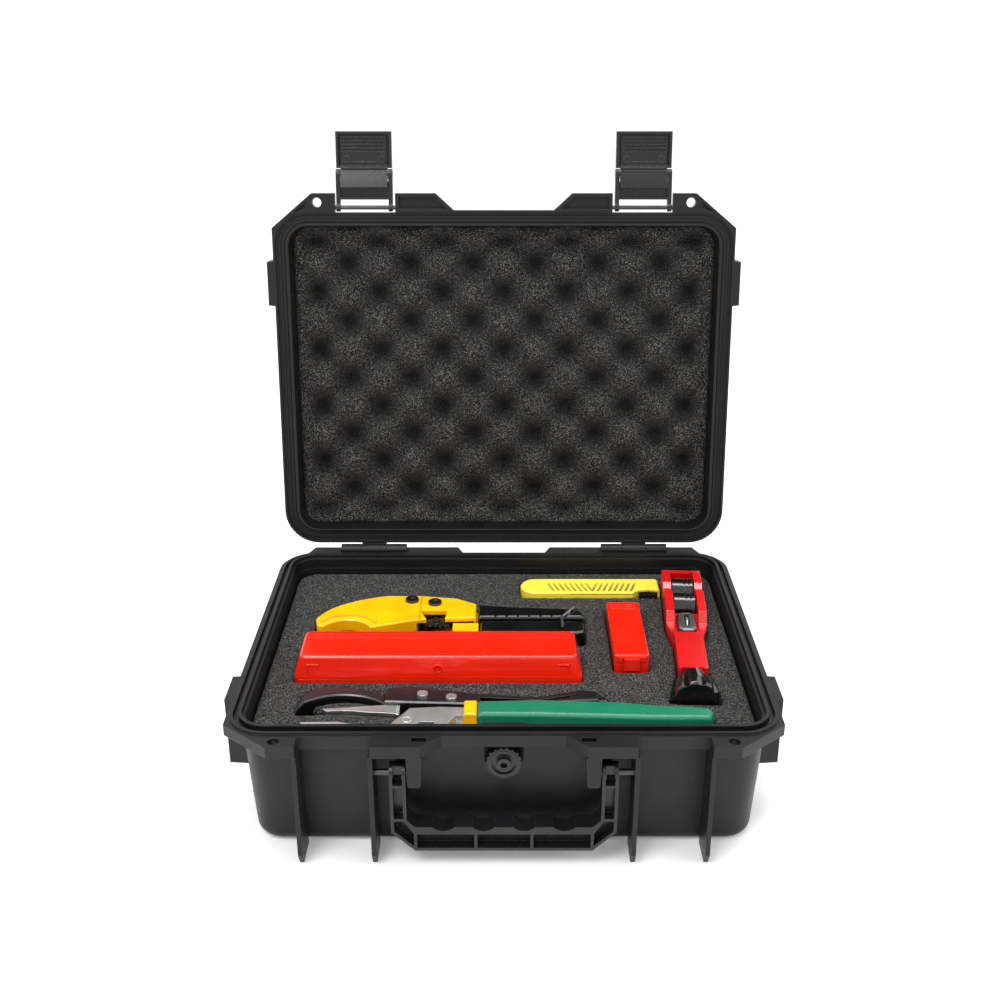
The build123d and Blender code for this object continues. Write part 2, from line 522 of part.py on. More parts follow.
# ---------------------------------------------------------------- long red case and its hinged lid
with BuildPart() as red_case_tray:
    middle_x, middle_y = sum(red_x) / 2, sum(red_y) / 2
    half_x, half_y = (red_x[1] - red_x[0]) / 2, (red_y[1] - red_y[0]) / 2
    with BuildSketch(Plane.XY.offset(red_low)) as floor_face:
        with Locations((middle_x, middle_y)):
            RectangleRounded(2 * half_x, 2 * half_y, 5.0)
    extrude(floor_face.sketch, amount=red_split - red_low)
    chamfer(red_case_tray.faces().sort_by(Axis.Z)[0].edges(), 1.5)
    offset(amount=-1.8, openings=red_case_tray.faces().sort_by(Axis.Z)[-1])
    # knuckles between the lid's
    for x in (-118.0, -43.3, 31.4):
        block((x - 6.0, x + 6.0), (red_y[1] - 0.4, red_y[1] + 1.6), (red_split - 6.0, red_split - 1.0))
        rod("x", (red_y[1] + 1.9, red_split + 0.2), 1.7, x - 6.0, x + 6.0)
        rod("x", (red_y[1] + 1.9, red_split + 0.2), 1.06, x - 7.0, x + 7.0, Mode.SUBTRACT)
save(red_case_tray, "red_case_tray")

with BuildPart() as red_case_lid:
    tapered(red_x, red_y, (red_split + 0.3, red_high), 4.3, 2.6, 1.2, 5.0)
    fillet(red_case_lid.faces().sort_by(Axis.Z)[-1].edges(), 1.8)
    tapered((red_x[0] + 1.8, red_x[1] - 1.8), (red_y[0] + 1.8, red_y[1] - 1.8), (red_split + 0.2, red_high - 1.8),
            3.9, 2.4, 1.1, 3.2, Mode.SUBTRACT)
    # two ribs along the back of the top, raised corner marks and the round boss on the sloping front
    for y in (red_y[1] - 6.0, red_y[1] - 11.0):
        block((red_x[0] + 7.0, red_x[1] - 7.0), (y - 0.7, y + 0.7), (red_high - 0.6, red_high + 0.8))
    for side in (-1, 1):
        corner = middle_x + side * (half_x - 9.0)
        low, high = sorted((corner, corner - side * 8.0))
        block((low, high), (red_y[0] + 1.0, red_y[0] + 2.4), (red_high - 6.6, red_high - 5.5))
        low, high = sorted((corner, corner - side * 1.2))
        block((low, high), (red_y[0] + 0.5, red_y[0] + 2.4), (red_high - 11.0, red_high - 5.5))
    rod("y", (middle_x, red_high - 8.5), 3.2, red_y[0] + 0.5, red_y[0] + 2.4)
    rod("y", (middle_x, red_high - 8.5), 2.2, red_y[0] - 0.5, red_y[0] + 0.9, Mode.SUBTRACT)
    for low, high in ((-111.7, -49.6), (-37.0, 25.1)):
        block((low, high), (red_y[1] - 0.9, red_y[1] + 1.6), (red_split + 1.6, red_split + 6.0))
        rod("x", (red_y[1] + 1.9, red_split + 0.2), 1.7, low, high)
    block((red_x[0], red_x[1]), (red_y[1] - 1.8, red_y[1] + 0.1), (red_split - 3.0, red_split + 0.3), Mode.SUBTRACT)
    rod("x", (red_y[1] + 1.9, red_split + 0.2), 1.06, -130.0, 45.0, Mode.SUBTRACT)
save(red_case_lid, "red_case_lid")

with BuildPart() as red_case_hinge_pin:
    rod("x", (red_y[1] + 1.9, red_split + 0.2), 1.0, -124.0, 37.4)
save(red_case_hinge_pin, "red_case_hinge_pin")


# ---------------------------------------------------------------- small red box, hinged at its far end
small_mid = sum(small_x) / 2
with BuildPart() as small_box_tray:
    block(small_x, small_y, (small_low, small_split))
    fillet(small_box_tray.edges().filter_by(Axis.Z), 2.5)
    offset(amount=-1.6, openings=small_box_tray.faces().sort_by(Axis.Z)[-1])
    for low, high in ((small_x[0] + 3.0, small_x[0] + 8.0), (small_x[1] - 8.0, small_x[1] - 3.0)):
        block((low, high), (small_y[1] - 0.4, small_y[1] + 1.4), (small_split - 5.0, small_split - 0.8))
        rod("x", (small_y[1] + 1.7, small_split + 0.2), 1.5, low, high)
        rod("x", (small_y[1] + 1.7, small_split + 0.2), 0.86, low - 1, high + 1, Mode.SUBTRACT)
    rod("x", (small_y[0] - 0.2, small_split - 2.4), 0.7, 80.6, 90.4)
save(small_box_tray, "small_box_tray")

with BuildPart() as small_box_lid:
    block(small_x, small_y, (small_split + 0.3, small_high))
    fillet(small_box_lid.edges().filter_by(Axis.Z), 2.5)
    fillet(small_box_lid.faces().sort_by(Axis.Z)[-1].edges(), 1.2)
    block((small_x[0] + 1.6, small_x[1] - 1.6), (small_y[0] + 1.6, small_y[1] - 1.6),
          (small_split, small_high - 1.6), Mode.SUBTRACT)
    for y in (small_y[1] - 4.5, small_y[1] - 7.5, small_y[1] - 10.5):
        block((small_x[0] + 2.5, small_x[1] - 2.5), (y - 0.5, y + 0.5), (small_high - 0.5, small_high + 0.5))
    rod("x", (small_y[1] + 1.7, small_split + 0.2), 1.5, small_mid - 3.4, small_mid + 3.4)
    block((small_mid - 3.4, small_mid + 3.4), (small_y[1] - 0.4, small_y[1] + 1.4),
          (small_split + 1.4, small_split + 4.4))
    rod("x", (small_y[1] + 1.7, small_split + 0.2), 0.86, small_mid - 4, small_mid + 4, Mode.SUBTRACT)
    # clip tab that snaps over the tray's bead
    block((80.2, 90.8), (small_y[0] - 2.2, small_y[0] - 1.2), (small_split - 4.4, small_high - 2.0))
    block((80.2, 90.8), (small_y[0] - 2.2, small_y[0] + 0.4), (small_high - 3.6, small_high - 2.0))
    for low, high in ((76.2, 79.4), (91.6, 94.8)):
        block((low, high), (small_y[0] - 0.6, small_y[0] + 0.4), (small_split + 1.4, small_high - 1.6))
save(small_box_lid, "small_box_lid")

with BuildPart() as small_box_hinge_pin:
    rod("x", (small_y[1] + 1.7, small_split + 0.2), 0.8, small_x[0] + 3.0, small_x[1] - 3.0)
save(small_box_hinge_pin, "small_box_hinge_pin")


# ---------------------------------------------------------------- snap-off knife
blade_z = (75.9, 76.5)
with BuildPart() as knife_body:
    with BuildSketch(Plane.XY.offset(knife_low)) as handle_face:
        with Locations((64.3, 87.0)):
            Rectangle(knife_x[1] - 12.0 - 22.8, 23.0)
        with Locations((23.9, 87.0)):
            Circle(11.4)
        with Locations((98.8, 87.0)):
            RectangleRounded(35.6, 23.0, 3.0)
    extrude(handle_face.sketch, amount=knife_high - knife_low)
    chamfer(knife_body.faces().sort_by(Axis.Z)[-1].edges(), 1.0)
    # a waist for the thumb towards the mouth, on the side that the slider is on
    plate([(95.0, 74.0), (97.5, 76.5), (102.0, 79.2), (109.0, 80.0), (118.0, 78.0), (118.0, 74.0)], knife_low - 1,
          knife_high + 1, Mode.SUBTRACT)
    # the sliding channel, the slot for the slider and the mouth
    block((knife_x[0] + 5.5, 114.0), (81.6, 93.8), (knife_low + 1.6, knife_high - 1.6), Mode.SUBTRACT)
    block((49.0, 118.0), (74.0, 82.0), (blade_z[0] - 0.2, blade_z[1] + 0.2), Mode.SUBTRACT)
    block((knife_x[0] - 1, knife_x[0] + 6.0), (81.4, 92.4), (blade_z[0] - 0.2, blade_z[1] + 0.2), Mode.SUBTRACT)
    # slanted slots across the top, leaning one way and then the other
    for step in range(16):
        x = 34.4 + 4.1 * step
        lean = 2.2 if step < 8 else -2.2
        plate([(x + lean, 77.4), (x + lean + 1.9, 77.4), (x + 1.9 - lean, 91.0), (x - lean, 91.0)],
              knife_high - 1.7, knife_high + 1, Mode.SUBTRACT)
save(knife_body, "knife_body")

with BuildPart() as knife_blade:
    plate([(13.4, 82.4), (108.0, 82.4), (108.0, 91.6), (19.8, 91.6)], *blade_z)
    for step in range(9):
        x = 27.0 + 8.4 * step
        plate([(x, 82.2), (x + 0.3, 82.2), (x + 4.3, 92.0), (x + 4.0, 92.0)], blade_z[1] - 0.12, blade_z[1] + 0.1,
              Mode.SUBTRACT)
save(knife_blade, "knife_blade")

with BuildPart() as knife_slider:
    block((100.5, 108.0), (75.0, 82.4), (blade_z[0] - 0.1, blade_z[1] + 0.1))
    block((100.0, 114.0), (71.4, 75.1), (foam_top + 0.4, knife_high + 0.2))
    for step in range(3):
        rod("z", (103.0 + 4.0 * step, 70.6), 1.5, foam_top, knife_high + 1, Mode.SUBTRACT)
save(knife_slider, "knife_slider")


# ---------------------------------------------------------------- tube cutter, laid along its own axis
frame_axis = Plane(origin=(cutter_x, cutter_y, 0), x_dir=cutter_across, z_dir=(0, 0, 1))


def on_cutter(builder, name):
    """Moves a tube cutter piece from its own straight frame to where it lies, and saves it."""
    builder.part = builder.part.moved(frame_axis.location)
    save(builder, name)


roller_z, roller_r, roller_y = 79.4, 10.4, (-21.5, -44.5)
wheel_y, wheel_z, wheel_r, screw_z = -74.0, 78.0, 8.0, 74.0
neck_end, knob_start, knob_end = -139.0, -139.4, -167.0
with BuildPart() as tube_cutter_frame:
    # two cheeks with a hump over each roller, the webs between them and the threaded body
    for low, high in ((-14.2, -8.4), (8.4, 14.2)):
        prism(Plane.YZ.offset(low),
              [(0, 66), (0, 86), (-4, 89), (-10, 90), (-26, 90), (-31, 87), (-34, 87), (-39, 90), (-52, 90), (-69, 89),
               (-74, 82), (-96, 82), (-96, 62), (-8, 62)], high - low, rounded=0.8)
    block((-14.2, 14.2), (-4.0, -0.1), (66.0, 87.0))
    block((-14.2, 14.2), (-62.0, -4.0), (62.0, 65.6))
    block((-14.2, 14.2), (-96.0, -56.0), (62.0, 80.0))
    plate([(-14.2, -90), (14.2, -90), (9.9, -98), (9.7, neck_end), (-9.7, neck_end), (-9.9, -98)], 62, 84)
    # outer taper to the neck, room for the carriage and a wavy end
    for side in (-1, 1):
        plate([(side * 14.3, -76), (side * 9.8, -96), (side * 9.8, -99), (side * 14.3, -99)], 61, 91, Mode.SUBTRACT)
        rod("z", (side * 5.0, neck_end - 1.6), 3.0, 61, 85, Mode.SUBTRACT)
    block((-6.6, 6.6), (wheel_y - 15.0, wheel_y + 15.5), (66.0, 91), Mode.SUBTRACT)
    rod("y", (0, screw_z), 4.06, neck_end - 1, -85, Mode.SUBTRACT)
    for y in roller_y:
        rod("x", (y, roller_z), 2.0, -15, 15, Mode.SUBTRACT)
on_cutter(tube_cutter_frame, "tube_cutter_frame")

for y, name in zip(roller_y, ("front", "rear")):
    with BuildPart() as roller:
        rod("x", (y, roller_z), roller_r, -8.2, 8.2)
        chamfer(roller.edges().filter_by(GeomType.CIRCLE), 0.8)
        with BuildSketch(Plane.XY.offset(roller_z)) as groove:
            for x in (1.4, 4.6):
                with Locations((x, y + roller_r)):
                    Rectangle(1.0, 2.4)
        revolve(groove.sketch, Axis((0, y, roller_z), (1, 0, 0)), mode=Mode.SUBTRACT)
        rod("x", (y, roller_z), 2.06, -9, 9, Mode.SUBTRACT)
    on_cutter(roller, f"tube_cutter_roller_{name}")

with BuildPart() as tube_cutter_roller_pins:
    for y in roller_y:
        rod("x", (y, roller_z), 2.0, -14.0, 14.0)
on_cutter(tube_cutter_roller_pins, "tube_cutter_roller_pins")

with BuildPart() as tube_cutter_carriage:
    plate([(-6.0, wheel_y + 8.0), (-6.0, wheel_y - 11.0), (-3.4, wheel_y - 14.0), (3.4, wheel_y - 14.0),
           (6.0, wheel_y - 11.0), (6.0, wheel_y + 8.0), (3.4, wheel_y + 11.0), (-3.4, wheel_y + 11.0)], 66.4, 85.0)
    chamfer(tube_cutter_carriage.faces().sort_by(Axis.Z)[-1].edges(), 1.0)
    block((-1.8, 1.8), (wheel_y - 8.6, wheel_y + 8.6), (66, 90), Mode.SUBTRACT)
    rod("x", (wheel_y, wheel_z), 1.5, -9, 9, Mode.SUBTRACT)
    rod("y", (0, screw_z), 4.06, wheel_y - 15.0, wheel_y - 8.6, Mode.SUBTRACT)
on_cutter(tube_cutter_carriage, "tube_cutter_carriage")

with BuildPart() as tube_cutter_wheel:
    rod("x", (wheel_y, wheel_z), wheel_r, -0.9, 0.9)
    chamfer(tube_cutter_wheel.edges().filter_by(GeomType.CIRCLE), 0.7)
    rod("x", (wheel_y, wheel_z), 1.56, -2, 2, Mode.SUBTRACT)
on_cutter(tube_cutter_wheel, "tube_cutter_wheel")

with BuildPart() as tube_cutter_wheel_pin:
    rod("x", (wheel_y, wheel_z), 1.5, -5.9, 5.9)
on_cutter(tube_cutter_wheel_pin, "tube_cutter_wheel_pin")

with BuildPart() as tube_cutter_screw:
    rod("y", (0, screw_z), 4.0, knob_start - 4.0, wheel_y - 17.0)
    with BuildSketch(Plane.XY.offset(screw_z)) as thread:
        for step in range(22):
            with Locations((3.9, wheel_y - 19.0 - 2.0 * step)):
                Rectangle(0.6, 0.9)
    revolve(thread.sketch, Axis((0, 0, screw_z), (0, 1, 0)), mode=Mode.SUBTRACT)
    rod("y", (0, screw_z), 3.0, wheel_y - 17.2, wheel_y - 9.2)
on_cutter(tube_cutter_screw, "tube_cutter_screw")

with BuildPart() as tube_cutter_knob:
    with BuildSketch(Plane.XY.offset(screw_z)) as knob_half:
        with BuildLine():
            Polyline((0, knob_start), (10.4, knob_start), (11.2, knob_start - 1.2), (16.0, knob_end + 3.0))
            ThreePointArc((16.0, knob_end + 3.0), (15.6, knob_end + 0.8), (13.6, knob_end))
            Polyline((13.6, knob_end), (0, knob_end), (0, knob_start))
        make_face()
    revolve(knob_half.sketch, Axis((0, 0, screw_z), (0, 1, 0)))
    for step in range(10):
        turn = radians(36 * step + 8)
        rod("y", (18.2 * cos(turn), screw_z + 18.2 * sin(turn)), 4.0, knob_end - 1, knob_start - 5, Mode.SUBTRACT)
    rod("y", (0, screw_z), 9.6, knob_end - 1, knob_end + 1.0, Mode.SUBTRACT)
    rod("y", (0, screw_z), 4.0, knob_start - 4.0, knob_start + 1, Mode.SUBTRACT)
on_cutter(tube_cutter_knob, "tube_cutter_knob")


# ---------------------------------------------------------------- pipe cutter with ratchet lever
pipe_low, pipe_high = 60.0, 82.0
pipe_mid = (pipe_low + pipe_high) / 2
bolt_a, bolt_b = (-66.8, 55.0), (-50.0, 51.0)          # blade pivot and lever pivot


with BuildPart() as pvc_cutter_frame:
    with BuildSketch(Plane.XY.offset(pipe_low + 3.0)) as head_face:
        with BuildLine():
            Line((-133.3, 27.9), (-131.5, 18.9))
            Line((-131.5, 18.9), (-126.9, 16.7))
            ThreePointArc((-126.9, 16.7), (-111.0, 26.4), (-93.6, 15.6))
            Polyline((-93.6, 15.6), (-78.0, 21.0), (-59.5, 27.0), (-20.0, 30.0), (-20.0, 50.5), (-34.0, 59.0),
                     (-59.5, 63.0), (-83.0, 63.3))
            ThreePointArc((-83.0, 63.3), (-101.5, 58.0), (-115.8, 50.0))
            ThreePointArc((-115.8, 50.0), (-127.0, 39.8), (-133.3, 27.9))
        make_face()
    extrude(head_face.sketch, amount=pipe_high - pipe_low - 3.0)
    chamfer(pvc_cutter_frame.faces().sort_by(Axis.Z)[-1].edges(), 0.8)
    # slot for the blade, right through the front half and a relief for the lever
    plate([(-140, 10), (-92, 10), (-48.0, 25), (-40, 36), (-48, 61), (-80, 66), (-94, 58), (-121, 38), (-134, 30)],
          pipe_mid - 2.2, pipe_mid + 2.2, Mode.SUBTRACT)
    plate([(-62, 8), (-21.5, 8), (-21.5, 44), (-42, 60), (-62, 60)], pipe_low, pipe_high - 3.2, Mode.SUBTRACT)
    plate([(-60.0, 39.4), (-40.5, 39.4), (-43.6, 12), (-50.0, 12), (-52.0, 20)], pipe_low, pipe_high + 1,
          Mode.SUBTRACT)
    # raised rim round the jaw and the seam between the two plates
    with BuildSketch(Plane.XY.offset(pipe_high - 0.2)) as rim_face:
        with BuildLine():
            ThreePointArc((-128.6, 21.0), (-111.0, 31.4), (-91.0, 20.6))
            Line((-91.0, 20.6), (-89.4, 22.8))
            ThreePointArc((-89.4, 22.8), (-111.0, 34.6), (-129.8, 23.8))
            Line((-129.8, 23.8), (-128.6, 21.0))
        make_face()
    extrude(rim_face.sketch, amount=1.6)
    block((-60.4, -59.6), (27.0, 64.0), (pipe_high - 1.0, pipe_high + 1), Mode.SUBTRACT)
    for at in (bolt_a, bolt_b):
        rod("z", at, 3.0, pipe_low, pipe_high + 1, Mode.SUBTRACT)
    # solid tang that the grip is moulded over
    plate([(-21.0, 33.0), (50.0, 33.6), (50.0, 41.0), (-21.0, 46.0)], pipe_low + 5.0, pipe_high - 5.0)
save(pvc_cutter_frame, "pvc_cutter_frame")

with BuildPart() as pvc_cutter_grip:
    plate([(-18.6, 50.0), (10.0, 46.5), (40.0, 44.7), (53.5, 42.0), (56.5, 38.0), (56.5, 31.0), (-18.6, 30.6)],
          pipe_low, pipe_high, rounded=1.6)
    fillet(pvc_cutter_grip.faces().sort_by(Axis.Z)[-1].edges(), 2.4)
    for step in range(7):
        x = -6.0 + 8.0 * step
        block((x - 0.7, x + 0.7), (30.0, 52.0), (pipe_high - 0.9, pipe_high + 1), Mode.SUBTRACT)
    plate([(-21.0, 33.0), (50.0, 33.6), (50.0, 41.0), (-21.0, 46.0)], pipe_low + 5.0, pipe_high - 5.0, Mode.SUBTRACT)
save(pvc_cutter_grip, "pvc_cutter_grip")

with BuildPart() as pvc_cutter_lever:
    plate([(-56.0, 55.0), (-50.0, 57.2), (-43.6, 55.0), (-42.0, 46.0), (-36.4, 36.0), (-22.8, 28.6), (46.0, 24.6),
           (46.0, 14.4), (-35.6, 14.4), (-37.0, 30.0), (-45.0, 34.0), (-57.0, 47.0)], pipe_mid - 5.5, pipe_mid - 2.5)
    plate([(-36.2, 13.0), (-18.0, 13.0), (-18.0, 28.4), (-24.0, 28.4), (-36.2, 28.4)], pipe_mid - 5.5, pipe_high - 4)
    rod("z", bolt_b, 3.06, pipe_low, pipe_high, Mode.SUBTRACT)
save(pvc_cutter_lever, "pvc_cutter_lever")

with BuildPart() as pvc_cutter_lever_grip:
    plate([(-16.6, 28.6), (50.0, 28.6), (56.5, 25.0), (56.5, 13.0), (50.0, 10.4), (-16.6, 11.0)],
          pipe_low, pipe_high - 1.5, rounded=1.6)
    fillet(pvc_cutter_lever_grip.faces().sort_by(Axis.Z)[-1].edges(), 2.2)
    plate([(-22.8, 28.6), (46.0, 24.6), (46.0, 14.4), (-22.8, 14.4)], pipe_mid - 5.5, pipe_mid - 2.5, Mode.SUBTRACT)
    plate([(-20.0, 13.0), (-18.0, 13.0), (-18.0, 28.6), (-20.0, 28.6)], pipe_mid - 5.5, pipe_high, Mode.SUBTRACT)
save(pvc_cutter_lever_grip, "pvc_cutter_lever_grip")

with BuildPart() as pvc_cutter_blade:
    plate([(-128.0, 30.0), (-119.0, 37.0), (-92.0, 55.4), (-72.0, 62.0), (-61.0, 60.0), (-59.6, 47.0), (-64.0, 34.0),
           (-92.0, 31.0), (-110.0, 29.6)], pipe_mid - 1.6, pipe_mid + 1.6)
    chamfer(pvc_cutter_blade.edges().filter_by(Axis.Z, reverse=True).sort_by(Axis.Y)[0:2], 1.0)
    rod("z", bolt_a, 3.06, pipe_low, pipe_high, Mode.SUBTRACT)
save(pvc_cutter_blade, "pvc_cutter_blade")

with BuildPart() as pvc_cutter_bolts:
    for at in (bolt_a, bolt_b):
        rod("z", at, 3.0, pipe_low + 3.0, pipe_high)
        rod("z", at, 4.8, pipe_high, pipe_high + 1.8)
        with BuildSketch(Plane.XY.offset(pipe_high + 0.9)) as socket:
            with Locations(at):
                RegularPolygon(2.2, 6)
        extrude(socket.sketch, amount=1.0, mode=Mode.SUBTRACT)
save(pvc_cutter_bolts, "pvc_cutter_bolts")

with BuildPart() as pvc_cutter_ratchet:
    plate([(-57.4, 30.0), (-52.0, 36.4), (-39.0, 37.8), (-39.0, 27.0), (-46.0, 24.4), (-55.0, 25.6)],
          pipe_mid + 3.0, pipe_high - 4.6)
    rod("z", (-48.0, 31.5), 2.6, pipe_mid + 3.0, pipe_high - 2.6)
    for step in range(5):
        x = -56.0 + 3.6 * step
        plate([(x, 23.0), (x + 2.0, 27.0), (x + 3.0, 23.0)], pipe_mid, pipe_high, Mode.SUBTRACT)
    block((-39.6, -34.0), (31.4, 34.2), (pipe_mid + 3.0, pipe_high - 3.2))
save(pvc_cutter_ratchet, "pvc_cutter_ratchet")

with BuildPart() as pvc_cutter_lock_loop:
    with BuildLine() as wire:
        Polyline((53.4, 45.6, 80.0), (50.0, 42.0, 83.6), (41.0, 27.0, 83.8), (41.0, 14.6, 83.0))
    with BuildSketch(Plane(origin=(53.4, 45.6, 80.0), z_dir=(-3.4, -3.6, 3.6))) as wire_section:
        Circle(0.9)
    sweep(wire_section.sketch, path=wire.line, transition=Transition.ROUND)
    rod("z", (46.0, 35.3), 1.6, pipe_high, 84.0)
save(pvc_cutter_lock_loop, "pvc_cutter_lock_loop")


# ---------------------------------------------------------------- groove-joint pliers
groove_split = 69.0


with BuildPart() as groove_pliers_upper_half:
    plate([(-126.0, -102.0), (-102.0, -101.4), (-84.0, -107.0), (-71.0, -106.0), (-59.0, -86.0), (-40.0, -84.4),
           (122.0, -90.8), (122.0, -99.4), (-30.0, -94.0), (-38.0, -109.0), (-70.0, -109.4), (-84.0, -109.6),
           (-108.0, -109.4), (-122.0, -106.4)], groove_split, 80.0)
    plate([(-57.0, -109.6), (-44.0, -109.6), (-43.0, -101.4), (-52.0, -101.4)], 60, 81, Mode.SUBTRACT)
    for step in range(9):
        x = -122.0 + 4.2 * step
        plate([(x, -111.0), (x + 1.6, -108.6), (x + 3.2, -111.0)], 60, 81, Mode.SUBTRACT)
    rod("z", (-60.0, -99.0), 3.0, 60, 81, Mode.SUBTRACT)
save(groove_pliers_upper_half, "groove_pliers_upper_half")

with BuildPart() as groove_pliers_lower_half:
    plate([(-126.0, -108.6), (-100.0, -107.8), (-72.0, -105.6), (-62.0, -94.0), (-40.0, -97.4), (120.0, -104.0),
           (120.0, -108.6), (-36.0, -109.4), (-126.0, -110.0)], 58.0, groove_split)
    rod("z", (-60.0, -99.0), 3.0, 57, 81, Mode.SUBTRACT)
    for step in range(4):
        rod("z", (-50.0 + 5.0 * step, -104.2), 2.2, groove_split - 2.0, 81, Mode.SUBTRACT)
save(groove_pliers_lower_half, "groove_pliers_lower_half")

with BuildPart() as groove_pliers_pivot:
    rod("z", (-60.0, -99.0), 3.0, 58.2, 80.0)
    chamfer(groove_pliers_pivot.faces().sort_by(Axis.Z)[-1].edges(), 0.5)
save(groove_pliers_pivot, "groove_pliers_pivot")

grip_core = [(-40.0, -84.4), (122.0, -90.8), (122.0, -99.4), (-30.0, -94.0)]
with BuildPart() as groove_pliers_upper_grip:
    plate([(-16.6, -80.6), (21.0, -79.2), (69.0, -81.4), (93.0, -85.0), (117.0, -86.8), (128.0, -88.6),
           (131.0, -94.0), (128.0, -101.0), (93.0, -100.8), (21.0, -97.6), (-16.6, -97.4)], groove_split, 83.0,
          rounded=1.2)
    fillet(groove_pliers_upper_grip.faces().sort_by(Axis.Z)[-1].edges(), 3.2)
    plate(grip_core, groove_split, 80.0, Mode.SUBTRACT)
save(groove_pliers_upper_grip, "groove_pliers_upper_grip")

with BuildPart() as groove_pliers_lower_grip:
    plate([(-16.6, -96.0), (93.0, -101.4), (126.0, -102.6), (129.0, -106.0), (126.0, -109.9), (-16.6, -109.9)],
          54.0, groove_split, rounded=1.2)
    plate([(-18.0, -98.3), (120.0, -104.0), (120.0, -108.6), (-18.0, -109.5)], 58.0, groove_split + 1, Mode.SUBTRACT)
save(groove_pliers_lower_grip, "groove_pliers_lower_grip")

with BuildPart() as groove_pliers_upper_collar:
    plate([(-25.0, -81.0), (-16.8, -80.6), (-16.8, -97.4), (-25.0, -97.2)], groove_split, 83.0, rounded=0.6)
    fillet(groove_pliers_upper_collar.faces().sort_by(Axis.Z)[-1].edges(), 1.6)
    plate(grip_core, groove_split, 80.0, Mode.SUBTRACT)
save(groove_pliers_upper_collar, "groove_pliers_upper_collar")


# ---------------------------------------------------------------- locking pliers
with BuildPart() as locking_pliers_body:
    plate([(-76.0, -62.0), (-64.5, -56.5), (-19.6, -66.3), (21.6, -70.6), (49.0, -62.4), (60.4, -64.0), (60.4, -74.0),
           (46.0, -75.6), (21.6, -78.2), (-8.2, -79.4), (-62.6, -77.0), (-76.0, -76.0)], 60.0, 79.0)
    chamfer(locking_pliers_body.faces().sort_by(Axis.Z)[-1].edges(), 0.9)
    # the pressed channel is open underneath, and on top along the grip
    plate([(-61.0, -60.0), (-19.6, -69.0), (21.6, -73.4), (44.0, -66.6), (44.0, -73.4), (21.6, -76.4), (-8.2, -77.6),
           (-61.0, -74.4)], 59.0, 77.2, Mode.SUBTRACT)
    plate([(-16.0, -71.4), (21.6, -74.8), (42.0, -69.6), (42.0, -71.8), (21.6, -76.2), (-14.0, -77.0)], 70, 80,
          Mode.SUBTRACT)
    rod("x", (-69.4, 70.0), 3.06, 38.0, 61.0, Mode.SUBTRACT)
    for at in ((-52.0, -69.0), (-33.5, -72.6)):
        rod("z", at, 2.5, 60, 81, Mode.SUBTRACT)
save(locking_pliers_body, "locking_pliers_body")

with BuildPart() as locking_pliers_jaw:
    with BuildSketch(Plane.XY.offset(62.0)) as jaw_face:
        with BuildLine():
            Polyline((-127.0, -74.0), (-131.0, -83.0), (-129.4, -68.5), (-123.6, -57.0))
            ThreePointArc((-123.6, -57.0), (-112.0, -54.4), (-92.8, -59.6))
            Polyline((-92.8, -59.6), (-76.0, -66.0), (-76.0, -75.9))
            ThreePointArc((-76.0, -75.9), (-102.0, -65.4), (-127.0, -74.0))
        make_face()
    extrude(jaw_face.sketch, amount=15.0)
    chamfer(locking_pliers_jaw.faces().sort_by(Axis.Z)[-1].edges(), 0.8)
save(locking_pliers_jaw, "locking_pliers_jaw")

with BuildPart() as locking_pliers_lower_jaw:
    with BuildSketch(Plane.XY.offset(62.0)) as lower_face:
        with BuildLine():
            Polyline((-66.0, -76.75), (-66.0, -86.0), (-88.0, -84.0))
            ThreePointArc((-88.0, -84.0), (-100.0, -82.6), (-112.0, -83.4))
            Line((-112.0, -83.4), (-115.0, -80.6))
            ThreePointArc((-115.0, -80.6), (-97.0, -78.4), (-76.0, -76.0))
            Line((-76.0, -76.0), (-66.0, -76.75))
        make_face()
    extrude(lower_face.sketch, amount=14.0)
    for step in range(7):
        y = -86.0 + 1.3 * step
        block((-68.0, -62.0), (y, y + 0.6), (75.2, 77.0), Mode.SUBTRACT)
save(locking_pliers_lower_jaw, "locking_pliers_lower_jaw")

with BuildPart() as locking_pliers_lever:
    plate([(-62.0, -61.5), (-19.6, -69.6), (21.6, -73.6), (44.0, -67.2), (58.0, -66.4), (58.0, -72.6),
           (44.0, -74.0), (21.6, -77.0), (-8.2, -78.2), (-62.0, -75.2)], 52.0, 59.8)
save(locking_pliers_lever, "locking_pliers_lever")

with BuildPart() as locking_pliers_rivets:
    for at in ((-52.0, -69.0), (-33.5, -72.6)):
        rod("z", at, 2.5, 62.0, 79.0)
        rod("z", at, 3.4, 79.0, 80.6)
save(locking_pliers_rivets, "locking_pliers_rivets")

with BuildPart() as locking_pliers_screw:
    rod("x", (-69.4, 70.0), 3.0, 40.0, 62.0)
    rod("x", (-69.4, 70.0), 5.0, 61.0, 66.0)
    for step in range(12):
        turn = radians(30 * step)
        rod("x", (-69.4 + 5.1 * cos(turn), 70.0 + 5.1 * sin(turn)), 0.6, 60, 67, Mode.SUBTRACT)
save(locking_pliers_screw, "locking_pliers_screw")
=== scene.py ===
"""Looks of the open tool case: materials, foam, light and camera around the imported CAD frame."""
import bpy
import json
from math import cos, pi, radians
from mathutils import Matrix, Vector


